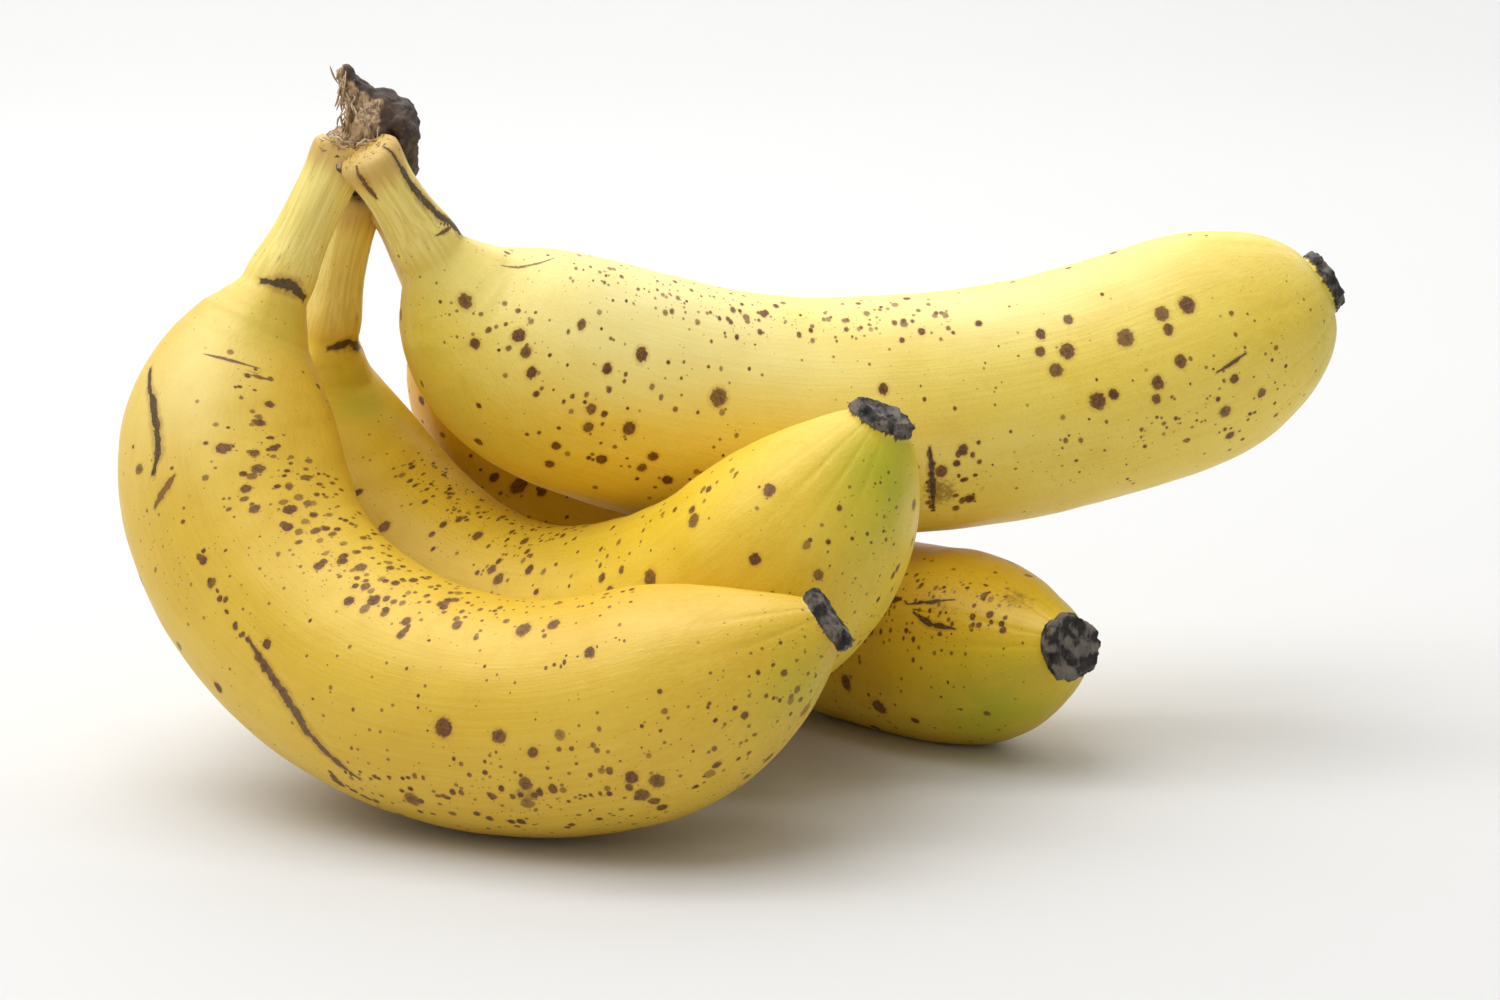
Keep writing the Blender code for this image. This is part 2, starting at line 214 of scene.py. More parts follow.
def skin_radius(fruit, along, around):
    """Mean radius with blunt ridges, lumps, creases at the neck and folds at the tip."""
    rng = np.random.default_rng(fruit.seed)
    length = fruit.stalk + fruit.body
    mean = mean_radius(fruit, along)
    to_end = length - along
    ridge = np.zeros(np.broadcast(along, around).shape)
    for k in range(RIDGES):
        crest = 2.0 * np.pi * k / RIDGES + rng.normal(0.0, 0.05)
        height = rng.uniform(0.75, 1.2)
        ridge = ridge + height * np.exp(-((turned(around, crest) / RIDGE_WIDTH) ** 2))
    ridge = ridge - 0.55
    # the ridges stand highest near both ends of the body
    start = smooth(0.0, 0.5 * fruit.stalk, along)
    ends = 0.6 * np.exp(-(((along - fruit.stalk - 0.14 * fruit.body) / (0.12 * fruit.body)) ** 2))
    ends = ends + 1.0 * np.exp(-(((along - fruit.stalk - 0.88 * fruit.body) / (0.10 * fruit.body)) ** 2))
    share = start * (0.024 + 0.026 * np.clip(ends, 0.0, 1.4))
    stalky = 1.0 - smooth(fruit.stalk - 6.0, fruit.stalk + 8.0, along)
    share = share + 0.03 * stalky * start
    radius = mean * (1.0 + share * ridge)
    # narrow furrows that run into the tip, broad and small lumps, and wrinkles across the neck
    near_tip = np.exp(-((to_end - 9.0) / 9.0) ** 2)
    furrows = np.abs(np.sin(6.5 * around + 1.7 * np.sin(2.0 * around + fruit.seed) + 0.03 * to_end))
    radius = radius - FURROW_DEPTH * near_tip * (1.0 - furrows) ** 3
    straight = np.stack(np.broadcast_arrays(along, mean * np.cos(around), mean * np.sin(around)), -1)
    radius = radius + LUMP_HEIGHT * smooth(30.0, 60.0, along) * waves(straight, 42.0, fruit.seed + 1)
    radius = radius + SMALL_LUMP_HEIGHT * smooth(20.0, 50.0, along) * waves(straight, 9.0, fruit.seed + 2)
    fine = straight * np.array((0.25, 1.0, 1.0))
    radius = radius + 0.04 * stalky * waves(fine, 3.2, fruit.seed + 3)
    neck = np.exp(-(((along - fruit.stalk + 1.0) / 5.0) ** 2))
    radius = radius + 0.10 * neck * waves(straight * np.array((2.4, 0.5, 0.5)), 4.5, fruit.seed + 4)
    # the blunt, squarish rim where the stalk joins the crown
    from_top = along + fruit.top
    square = np.cos(4.0 * around + fruit.seed)
    radius = radius + np.exp(-(((from_top - 1.5) / 4.0) ** 2)) * (0.65 + 0.25 * square)
    return radius - 0.9 * np.exp(-((from_top / 0.7) ** 2))


def stations(fruit):
    """Places of the rings, closer together where the outline is steep."""
    along = np.linspace(-fruit.top, fruit.stalk + fruit.body, 3000)
    radius = mean_radius(fruit, along)
    outline = np.concatenate([[0.0], np.cumsum(np.hypot(np.diff(along), 1.4 * np.diff(radius)))])
    return np.interp(np.linspace(0.0, outline[-1], RINGS), outline, along)


def skin_point(spine, along, around, radius):
    """Point on the skin, in mm."""
    centre = spine.at(spine.centre, along)
    inward = spine.at(spine.inward, along)
    across = spine.at(spine.across, along)
    out = np.cos(around)[..., None] * inward + np.sin(around)[..., None] * across
    return centre + radius[..., None] * out


# ---- meshes


def mesh_object(name, points, faces):
    """Smooth-shaded object from points in mm."""
    mesh = bpy.data.meshes.new(name)
    mesh.from_pydata([tuple(p) for p in np.asarray(points) * MM], [], faces)
    mesh.update()
    mesh.shade_smooth()
    obj = bpy.data.objects.new(name, mesh)
    bpy.context.scene.collection.objects.link(obj)
    return obj


def tube_faces(rows, columns):
    """Faces of a tube of rings, with a cap on either end."""
    faces = []
    for i in range(rows - 1):
        for j in range(columns):
            k = (j + 1) % columns
            a = i * columns
            faces.append((a + j, a + k, a + columns + k, a + columns + j))
    faces.append(tuple(range(columns))[::-1])
    faces.append(tuple(range((rows - 1) * columns, rows * columns)))
    return faces


def add_attribute(mesh, name, kind, values):
    """A value for each vertex, for the materials to read."""
    made = mesh.attributes.new(name, kind, "POINT")
    field = {"FLOAT": "value", "FLOAT_VECTOR": "vector", "FLOAT_COLOR": "color"}[kind]
    made.data.foreach_set(field, np.ascontiguousarray(values, np.float32).ravel())


def add_strip_map(mesh, columns):
    """A flat map for the surface: along one way, around the other, with one seam."""
    layer = mesh.uv_layers.new(name="OFBake")
    corner = np.zeros(len(mesh.loops), np.int32)
    mesh.loops.foreach_get("vertex_index", corner)
    rows = int(np.ceil(len(mesh.vertices) / columns))
    uv = np.stack([corner % columns / columns, corner // columns / max(rows - 1, 1)], -1)
    starts = np.zeros(len(mesh.polygons), np.int32)
    sizes = np.zeros(len(mesh.polygons), np.int32)
    mesh.polygons.foreach_get("loop_start", starts)
    mesh.polygons.foreach_get("loop_total", sizes)
    for start, size in zip(starts, sizes):
        if size != 4:
            continue
        part = uv[start:start + size, 0]
        if part.max() - part.min() > 0.5:
            part[part < 0.5] += 1.0
    uv = uv * np.array((1.0 / (1.0 + 1.0 / columns), 1.0))
    uv = MAP_EDGE + (1.0 - 2.0 * MAP_EDGE) * uv
    layer.data.foreach_set("uv", np.clip(uv, 0.0, 1.0).astype(np.float32).ravel())


# ---- marks on the skin


class Spot(NamedTuple):
    """A brown spot: place in mm and degrees, half width in mm, stretch round the girth, tone."""

    along: float
    around: float
    size: float
    stretch: float
    tone: float


def scatter(fruit):
    """Seeded spots in bands of the skin."""
    rng = np.random.default_rng(fruit.seed * 100 + 1)
    spots = []
    for start, end, middle, half, count, small, large in BANDS[fruit.name]:
        for _ in range(count):
            along = rng.uniform(start, end)
            around = middle + half * np.clip(rng.normal(0.0, 0.5), -1.2, 1.2)
            size = SPOT_GROWTH * (small + (large - small) * rng.beta(1.2, 3.0))
            spots.append(Spot(along, around, size, rng.uniform(0.95, 1.35), rng.uniform(0.35, 1.0)))
    return spots


def all_spots(fruit):
    """Placed spots, blotches strung along the chains, and the seeded bands."""
    rng = np.random.default_rng(fruit.seed + 900)
    placed = [Spot(along, around, SPOT_GROWTH * size, rng.uniform(1.0, 1.25), rng.uniform(0.75, 1.0))
              for along, around, size in SPOTS[fruit.name]]
    for (along_0, around_0), (along_1, around_1), count, small, large, spread in CHAINS[fruit.name]:
        turn = (around_1 - around_0 + 180.0) % 360.0 - 180.0
        for _ in range(count):
            share = rng.uniform()
            along = along_0 + share * (along_1 - along_0) + spread * rng.normal(0.0, 0.5)
            around = around_0 + share * turn + 3.0 * spread * rng.normal(0.0, 0.5)
            size = small + (large - small) * rng.beta(1.2, 2.2)
            placed.append(Spot(along, around, size, rng.uniform(0.7, 1.7), rng.uniform(0.7, 1.0)))
    return placed + scatter(fruit)


def layered(fruit, spots):
    """Spots shared out among layers so that in each no two are near each other."""
    layers = [[] for _ in range(SPOT_LAYERS)]
    for spot in sorted(spots, key=lambda s: -s.size):
        radius = float(mean_radius(fruit, np.array(spot.along)))
        for layer in layers:
            room = np.inf
            for other in layer:
                turn = (spot.around - other.around + 180.0) % 360.0 - 180.0
                apart = np.hypot(spot.along - other.along, np.radians(turn) * radius)
                room = min(room, apart - spot.size * 1.2 - other.size * 1.2)
            if room > LAYER_ROOM:
                layer.append(spot)
                break
    return layers


def take_nearest(field, nearest, apart, values):
    """Write these values wherever this mark is nearer than the ones before it."""
    closer = apart < nearest
    nearest[closer] = apart[closer]
    for k, value in enumerate(values):
        field[..., k] = np.where(closer, value, field[..., k])


def spot_field(along, around, radius, layer):
    """For each vertex: offset from the nearest spot in its half widths, how far off, and tone."""
    field = np.zeros(along.shape + (4,))
    field[..., 2] = FAR_OFF
    field[..., 0] = FAR_OFF
    nearest = np.full(along.shape, np.inf)
    for spot in layer:
        x = along - spot.along
        y = turned(around, np.radians(spot.around)) * radius
        edge = np.hypot(x, y / spot.stretch) - spot.size
        values = (x / spot.size, y / (spot.size * spot.stretch), edge, spot.tone)
        take_nearest(field, nearest, np.hypot(x, y) - spot.size, values)
    return field


class Scar(NamedTuple):
    """A thin dark line: its points (mm along, degrees around), half width in mm, and tone."""

    points: tuple
    width: float
    tone: float


def scar_field(along, around, radius, scars):
    """For each vertex: offset across the nearest scar in half widths, how far off, tone, way along."""
    field = np.zeros(along.shape + (4,))
    field[..., 0] = FAR_OFF
    field[..., 1] = FAR_OFF
    nearest = np.full(along.shape, np.inf)
    for scar in scars:
        points = np.array(scar.points, float)
        total = len(points) - 1
        for i in range(total):
            (along_0, around_0), (along_1, around_1) = points[i], points[i + 1]
            x = along - along_0
            y = turned(around, np.radians(around_0)) * radius
            dx = along_1 - along_0
            dy = np.radians(around_1 - around_0) * radius
            size = np.hypot(dx, dy)
            held = np.clip((x * dx + y * dy) / size**2, 0.0, 1.0)
            off = (x * dy - y * dx) / size
            gap = np.hypot(x - held * dx, y - held * dy)
            way = (i + held) / total
            half = scar.width * (0.25 + 0.75 * np.sin(np.pi * np.clip(way, 0.03, 0.97)) ** 0.7)
            edge = np.maximum(gap - half, 1.5 * (gap - np.abs(off)))
            take_nearest(field, nearest, gap, (off / half, edge, scar.tone, way))
    return field


def patch_field(along, around, radius, patches):
    """Soft patches: (mm along, degrees, half length mm, half width mm, strength)."""
    total = np.zeros(along.shape)
    for middle, turn, length, width, strength in patches:
        y = turned(around, np.radians(turn)) * radius
        total = np.maximum(total, strength * np.exp(-(((along - middle) / length) ** 2) - (y / width) ** 2))
    return total


# ---- shader helpers


class Graph:
    """Short calls for building a material's nodes."""

    def __init__(self, name):
        self.material = bpy.data.materials.new(name)
        self.material.use_nodes = True
        self.tree = self.material.node_tree
        self.shader = self.tree.nodes["Principled BSDF"]

    def node(self, kind, **settings):
        made = self.tree.nodes.new(kind)
        for key, value in settings.items():
            setattr(made, key, value)
        return made

    def put(self, socket, value):
        if isinstance(value, bpy.types.NodeSocket):
            self.tree.links.new(value, socket)
        else:
            socket.default_value = value

    def set(self, name, value):
        """Value or link for an input of the shader."""
        self.put(self.shader.inputs[name], value)

    def attribute(self, name, output="Vector"):
        return self.node("ShaderNodeAttribute", attribute_name=name).outputs[output]

    def math(self, operation, a, b=None):
        made = self.node("ShaderNodeMath", operation=operation)
        self.put(made.inputs[0], a)
        if b is not None:
            self.put(made.inputs[1], b)
        return made.outputs[0]

    def times(self, a, b):
        return self.math("MULTIPLY", a, b)

    def plus(self, a, b):
        return self.math("ADD", a, b)

    def scaled(self, vector, factors):
        made = self.node("ShaderNodeVectorMath", operation="MULTIPLY")
        self.put(made.inputs[0], vector)
        self.put(made.inputs[1], factors)
        return made.outputs["Vector"]

    def moved(self, vector, offset):
        made = self.node("ShaderNodeVectorMath", operation="ADD")
        self.put(made.inputs[0], vector)
        self.put(made.inputs[1], (offset, offset, offset))
        return made.outputs["Vector"]

    def uneven(self, value, noise, amount):
        """A value made ragged by a noise from 0 to 1."""
        return self.plus(value, self.times(self.math("SUBTRACT", noise, 0.5), amount))

    def parts(self, vector):
        made = self.node("ShaderNodeSeparateXYZ")
        self.put(made.inputs[0], vector)
        return made.outputs[0], made.outputs[1], made.outputs[2]

    def step(self, value, low, high, out_low=0.0, out_high=1.0):
        """Eased change from out_low at low to out_high at high."""
        made = self.node("ShaderNodeMapRange", interpolation_type="SMOOTHSTEP")
        self.put(made.inputs["Value"], value)
        made.inputs["From Min"].default_value = low
        made.inputs["From Max"].default_value = high
        made.inputs["To Min"].default_value = out_low
        made.inputs["To Max"].default_value = out_high
        return made.outputs["Result"]

    def noise(self, where, scale, detail=2.0, roughness=0.5):
        made = self.node("ShaderNodeTexNoise")
        self.put(made.inputs["Vector"], where)
        made.inputs["Scale"].default_value = scale
        made.inputs["Detail"].default_value = detail
        made.inputs["Roughness"].default_value = roughness
        return made.outputs["Fac"]

    def cells(self, where, scale):
        """Distance to the nearest seeded point, and that point's own random value."""
        made = self.node("ShaderNodeTexVoronoi")
        self.put(made.inputs["Vector"], where)
        made.inputs["Scale"].default_value = scale
        return made.outputs["Distance"], self.parts(made.outputs["Color"])[0]

    def mix(self, share, a, b):
        made = self.node("ShaderNodeMix", data_type="RGBA", blend_type="MIX")
        self.put(made.inputs[0], share)
        self.put(made.inputs[6], a)
        self.put(made.inputs[7], b)
        return made.outputs[2]

    def bump(self, height, distance, strength, under=None):
        made = self.node("ShaderNodeBump")
        made.inputs["Strength"].default_value = strength
        made.inputs["Distance"].default_value = distance
        self.put(made.inputs["Height"], height)
        if under is not None:
            self.put(made.inputs["Normal"], under)
        return made.outputs["Normal"]


def rgb(red, green, blue):
    """Linear colour from a colour as seen, 0 to 255."""
    seen = np.array((red, green, blue)) / 255.0
    linear = np.where(seen <= 0.04045, seen / 12.92, ((seen + 0.055) / 1.055) ** 2.4)
    return (*linear.tolist(), 1.0)


def peel_material(name, peel_tones_and_painted_light):
    """Waxy peel: fibres, pale and deep blotches, painted highlight patches, green ends, freckles, spots and
    scars.
    """
    g = Graph(name)
    straight = g.attribute("straight")
    green, freckled, bruised = g.parts(g.attribute("zones"))
    stalky = g.attribute("zones", "Alpha")

    fibre_space = g.scaled(straight, (0.035, 1.0, 1.0))
    fibres = g.noise(fibre_space, 1.5, 3.0, 0.6)
    broad = g.noise(g.scaled(straight, (0.4, 1.0, 1.0)), 0.045, 3.0, 0.55)
    mottle = g.noise(straight, 0.22, 4.0, 0.6)
    fine = g.noise(straight, 2.2, 3.0, 0.6)

    # this fruit's tones, partly painted light: lighter or darker for how the light falls on it
    colour = g.mix(g.step(broad, 0.30, 0.72), rgb(*peel_tones_and_painted_light[0]), rgb(*peel_tones_and_painted_light[1]))
    colour = g.mix(g.step(mottle, 0.45, 0.80, 0.0, 0.35), colour, rgb(*peel_tones_and_painted_light[2]))
    colour = g.mix(g.step(fibres, 0.30, 0.72, 0.0, 0.30), colour, rgb(*peel_tones_and_painted_light[3]))
    colour = g.mix(g.times(g.step(fine, 0.40, 0.70), 0.14), colour, rgb(214, 160, 30))

    # painted highlight: paler patches stand in for the broad gloss of the lamps on the upper side
    pale = g.attribute("pale", "Fac")
    colour = g.mix(g.times(pale, g.step(broad, 0.25, 0.6, 0.7, 1.0)), colour, rgb(255, 246, 182))

    # green where the fruit is less ripe
    unripe = g.times(green, g.step(g.noise(straight, 0.12, 3.0), 0.25, 0.65, 0.45, 1.0))
    colour = g.mix(unripe, colour, rgb(178, 180, 22))

    # stalk: paler, streaked lengthwise with brown
    stalk_tone = g.mix(g.step(fibres, 0.36, 0.66), rgb(249, 230, 134), rgb(232, 209, 108))
    colour = g.mix(stalky, colour, stalk_tone)
    streaks = g.noise(g.scaled(straight, (0.06, 1.0, 1.0)), 1.1, 4.0, 0.65)
    streak = g.times(g.step(streaks, 0.60, 0.72), stalky)
    colour = g.mix(g.times(streak, 0.60), colour, rgb(128, 92, 40))

    # tan and brown towards the crown
    rim = g.step(g.uneven(g.attribute("rim", "Fac"), streaks, 0.9), 0.25, 0.85)
    colour = g.mix(g.times(rim, 0.70), colour, rgb(206, 160, 84))

    # bruises and russet
    ragged = g.noise(straight, 0.9, 5.0, 0.7)
    bruise = g.step(g.uneven(bruised, ragged, 0.9), 0.30, 0.62)
    bruise = g.times(bruise, g.step(bruised, 0.02, 0.15))
    colour = g.mix(g.times(bruise, 0.72), colour, rgb(122, 78, 22))

    # pinpoint freckles, in two sizes
    dots = []
    for scale, reach, offset in ((0.62, 0.26, 0.0), (1.25, 0.24, 31.0)):
        distance, pick = g.cells(g.moved(straight, offset), scale)
        kept = g.step(g.math("SUBTRACT", freckled, pick), -0.02, 0.02)
        dots.append(g.times(g.step(distance, reach, reach * 0.45), kept))
    dot = g.math("MAXIMUM", dots[0], dots[1])
    colour = g.mix(g.times(dot, 0.80), colour, rgb(122, 78, 22))

    # placed spots, several layers of them
    wobble = g.math("SUBTRACT", g.noise(straight, 1.3, 3.0, 0.6), 0.5)
    inner = g.noise(straight, 1.6, 4.0, 0.7)
    spot, halo, core = 0.0, 0.0, 0.0
    for k in range(SPOT_LAYERS):
        x, y, off = g.parts(g.attribute(f"spots_{k}"))
        distance = g.math("SQRT", g.plus(g.times(x, x), g.times(y, y)))
        distance = g.plus(distance, g.times(wobble, 0.85))
        tone = g.times(g.attribute(f"spots_{k}", "Alpha"), g.step(off, 1.0, 0.7))
        body = g.times(g.step(distance, 1.08, 0.80), tone)
        ring = g.times(g.step(distance, 1.75, 0.9), tone)
        middle = g.times(g.step(distance, 0.72, 0.30), tone)
        spot = g.math("MAXIMUM", spot, body)
        halo = g.math("MAXIMUM", halo, ring)
        core = g.math("MAXIMUM", core, middle)
    colour = g.mix(g.times(halo, 0.42), colour, rgb(196, 142, 34))
    spot_tone = g.mix(g.step(inner, 0.38, 0.64), rgb(124, 76, 20), rgb(86, 50, 14))
    colour = g.mix(g.math("POWER", spot, 0.55), colour, spot_tone)
    dark = g.times(core, g.step(inner, 0.42, 0.62))
    colour = g.mix(g.times(dark, 0.70), colour, rgb(70, 40, 14))

    # scars and cracks
    off, gap, scar_tone = g.parts(g.attribute("scars"))
    blotchy = g.times(g.math("SUBTRACT", g.noise(straight, 0.42, 2.0), 0.55), 2.6)
    width = g.plus(g.math("ABSOLUTE", off), g.times(wobble, 1.5))
    width = g.plus(width, blotchy)
    line = g.times(g.step(width, 1.1, 0.7), g.step(gap, 0.9, 0.5))
    gaps = g.plus(g.noise(straight, 0.8, 3.0, 0.7), g.times(scar_tone, 0.5))
    line = g.times(line, g.step(gaps, 0.48, 0.60))
    fringe = g.times(g.step(width, 2.8, 1.0), g.step(gap, 1.6, 0.6))
    colour = g.mix(g.times(g.times(fringe, scar_tone), 0.45), colour, rgb(150, 100, 28))
    scar_colour = g.mix(g.step(scar_tone, 0.5, 1.0), rgb(132, 86, 36), rgb(60, 40, 25))
    scar_colour = g.mix(g.step(inner, 0.5, 0.68, 0.0, 0.5), scar_colour, rgb(150, 112, 66))
    colour = g.mix(g.times(line, 0.92), colour, scar_colour)

    # the skin dries and darkens where it meets crown and blossom end
    jagged = g.uneven(g.attribute("ends", "Fac"), g.noise(fibre_space, 0.9, 3.0, 0.7), 1.2)
    burnt = g.step(jagged, 0.62, 0.86)
    colour = g.mix(g.times(burnt, 0.92), colour, rgb(58, 44, 30))

    g.set("Base Color", colour)
    rough = g.plus(g.step(mottle, 0.3, 0.7, 0.37, 0.46), g.times(spot, 0.16))
    rough = g.plus(rough, g.times(burnt, 0.3))
    rough = g.plus(rough, g.times(stalky, 0.06))
    g.set("Roughness", rough)
    g.set("Subsurface Weight", 0.015)
    g.set("Subsurface Radius", (1.0, 0.7, 0.2))
    g.set("Subsurface Scale", 0.0018)
    g.set("Specular IOR Level", 0.5)

    relief = g.bump(fibres, 0.00016, 0.5)
    relief = g.bump(fine, 0.00010, 0.5, relief)
    relief = g.bump(g.noise(straight, 5.0, 2.0), 0.00005, 0.4, relief)
    sunk = g.plus(g.times(spot, -1.0), g.times(line, -1.5))
    relief = g.bump(sunk, 0.00010, 0.8, relief)
    g.set("Normal", relief)
    return g.material


def nub_material():
    """Dry woody tissue: nearly black, rough, with grey folds and flecks."""
    g = Graph("blossom_end")
    base, pale, dark = rgb(52, 47, 44), rgb(118, 110, 100), rgb(20, 17, 16)
    where = g.node("ShaderNodeTexCoord").outputs["Object"]
    tone = g.attribute("tone", "Fac")
    grain = g.noise(g.scaled(where, (1.0, 1.0, 0.35)), 1440.0, 5.0, 0.68)
    lumps = g.noise(where, 405.0, 4.0, 0.6)
    flecks = g.noise(where, 2790.0, 3.0, 0.7)
    colour = g.mix(g.step(lumps, 0.32, 0.66), dark, base)
    worn = g.plus(grain, g.times(tone, 0.5))
    colour = g.mix(g.step(worn, 0.52, 0.86), colour, pale)
    colour = g.mix(g.step(flecks, 0.62, 0.74, 0.0, 0.5), colour, pale)
    colour = g.mix(g.step(grain, 0.46, 0.30, 0.0, 0.8), colour, dark)
    g.set("Base Color", colour)
    g.set("Roughness", g.step(grain, 0.3, 0.7, 0.62, 0.92))
    relief = g.bump(grain, 0.0004, 0.8)
    relief = g.bump(flecks, 0.00015, 0.7, relief)
    g.set("Normal", relief)
    return g.material


# ---- fruit pieces


# Large spots placed one by one: mm along, degrees around, half width in mm
SPOTS = {
    "front": (
        (50, 40, 0.7), (55, 46, 0.8), (61, 66, 1.0), (63, 51, 0.8), (62, 40, 0.7), (67, 51, 1.0),
        (71, 60, 0.8), (76, 60, 0.8), (79, 44, 1.0), (83, 50, 0.8), (95, 51, 0.8), (97, 40, 0.8),
        (101, 36, 1.0), (106, 45, 0.8), (110, 33, 0.7), (112, 24, 0.8), (110, 50, 1.0), (106, 57, 0.8),
        (123, 30, 0.8), (119, 54, 0.7), (129, 48, 0.8), (143, 48, 1.25), (149, 46, 1.0), (132, 102, 1.2),
        (141, 105, 1.0), (98, 97, 0.7), (93, 140, 0.7), (157, 70, 0.8), (144, 129, 0.8), (162, 141, 0.9),
        (159, 135, 0.8), (146, 114, 0.7),
    ),
    "second": (
        (75, 45, 1.0), (86, 24, 0.7), (88, 16, 0.7), (96, 20, 1.0), (106, 38, 0.9), (109, 43, 1.0),
        (116, 36, 0.8), (109, 15, 0.8), (137, 50, 0.7), (139, 60, 0.8), (177, 70, 0.9), (162, 52, 1.1),
        (162, 44, 0.7), (149, 64, 1.25), (168, 92, 0.8), (63, 44, 0.7),
    ),
    "top": (
        (25, 76, 1.0), (35, 64, 1.0), (38, 69, 0.8), (41, 76, 0.8), (31, 88, 0.7), (54, 78, 0.8),
        (55, 87, 0.8), (62, 81, 1.0), (54, 58, 0.8), (46, 42, 0.8), (53, 117, 0.7), (60, 102, 0.8),
        (52, 104, 0.7), (77, 57, 1.4), (68, 92, 0.8), (67, 100, 0.7), (72, 104, 0.8), (60, 46, 1.0),
        (109, 48, 0.8), (147, 26, 0.8), (141, 30, 0.8), (140, 39, 0.8), (145, 42, 1.2), (142, 50, 1.1),
        (156, 44, 1.3), (164, 39, 1.1), (164, 47, 0.8), (169, 39, 1.3), (164, 63, 0.9), (159, 69, 0.9),
        (158, 76, 0.7), (151, 68, 0.8), (148, 69, 1.2), (172, 81, 0.7), (176, 97, 0.7), (169, 96, 0.9),
        (169, 114, 0.7), (119, 90, 0.9), (123, 80, 0.8), (124, 110, 0.8),
    ),
    "low": (
        (49, 69, 0.7), (62, 60, 0.8), (67, 52, 1.3), (72, 45, 0.8), (159, 33, 0.9), (153, 68, 1.0),
        (160, 81, 1.3), (167, 90, 0.7), (142, 122, 0.8), (153, 111, 0.8),
    ),
}
# Seeded spots: from and to in mm, middle and spread in degrees, how many, smallest and largest
# half width in mm
BANDS = {
    "front": (
        (40, 75, 54, 22, 44, 0.22, 0.75), (60, 132, 38, 20, 170, 0.28, 0.98),
        (110, 165, 32, 26, 70, 0.20, 0.65), (70, 125, 14, 12, 70, 0.24, 0.62),
        (115, 188, 140, 34, 110, 0.16, 0.62), (60, 150, 90, 40, 46, 0.12, 0.38),
        (45, 185, 215, 90, 160, 0.18, 1.15), (38, 185, 330, 40, 90, 0.16, 0.85),
    ),
    "second": (
        (60, 125, 5, 18, 120, 0.20, 0.68), (85, 175, 30, 24, 60, 0.20, 0.70),
        (160, 190, 150, 40, 40, 0.10, 0.28), (45, 185, 200, 110, 180, 0.18, 1.10),
        (60, 180, 90, 40, 40, 0.14, 0.50),
    ),
    "top": (
        (40, 125, 12, 15, 120, 0.18, 0.72), (22, 60, 72, 34, 44, 0.18, 0.60),
        (50, 85, 60, 44, 26, 0.20, 0.60), (45, 80, 100, 20, 18, 0.18, 0.60),
        (140, 182, 85, 34, 60, 0.14, 0.55), (100, 140, 60, 60, 24, 0.12, 0.40),
        (25, 185, 230, 90, 180, 0.18, 1.20), (25, 185, 330, 40, 80, 0.16, 0.80),
    ),
    "low": (
        (155, 186, 10, 34, 110, 0.18, 0.60), (130, 180, 80, 60, 40, 0.12, 0.45),
        (40, 90, 60, 40, 30, 0.18, 0.60), (45, 185, 230, 110, 180, 0.18, 1.15),
    ),
}
# Chains of blotches: from and to (mm, degrees), how many, smallest and largest half width, scatter in mm
CHAINS = {
    "front": (
        ((77, 93), (95, 103), 34, 0.25, 0.85, 0.7), ((94, 102), (104, 113), 14, 0.3, 0.8, 0.5),
        ((113, 142), (129, 128), 26, 0.18, 0.5, 0.6), ((125, 140), (140, 133), 24, 0.2, 0.6, 0.8),
        ((114, 148), (119, 159), 9, 0.35, 0.85, 0.9), ((150, 137), (160, 147), 16, 0.2, 0.6, 0.9),
        ((137, 150), (143, 156), 8, 0.3, 0.8, 0.7), ((149, 74), (163, 66), 12, 0.15, 0.4, 1.2),
        ((141, 134), (147, 137), 16, 0.2, 0.7, 1.4),
    ),
    "second": (
        ((88, 2), (112, 358), 16, 0.2, 0.5, 1.5), ((150, 160), (168, 170), 12, 0.2, 0.5, 1.2),
    ),
    "top": (
        ((117, 78), (118, 116), 22, 0.25, 0.85, 0.9), ((122, 80), (122, 116), 22, 0.25, 0.8, 0.9),
        ((125, 76), (125, 96), 9, 0.25, 0.6, 0.8), ((112, 108), (126, 110), 12, 0.2, 0.7, 1.2),
        ((160, 106), (176, 108), 12, 0.15, 0.45, 1.2),
    ),
    "low": (
        ((180, 340), (188, 20), 18, 0.25, 0.8, 1.6), ((140, 128), (160, 122), 12, 0.2, 0.6, 1.6),
    ),
}
# Painted highlight: soft pale patches that stand in for the broad gloss on the upper side, most on the top
# fruit: mm along, degrees around, half length and half width in mm, strength
PAINTED_HIGHLIGHT = {
    "front": ((48, 100, 16, 13, 0.35),),
    "second": (),
    "top": ((62, 22, 46, 15, 0.75), (125, 8, 50, 10, 0.55)),
    "low": (),
}
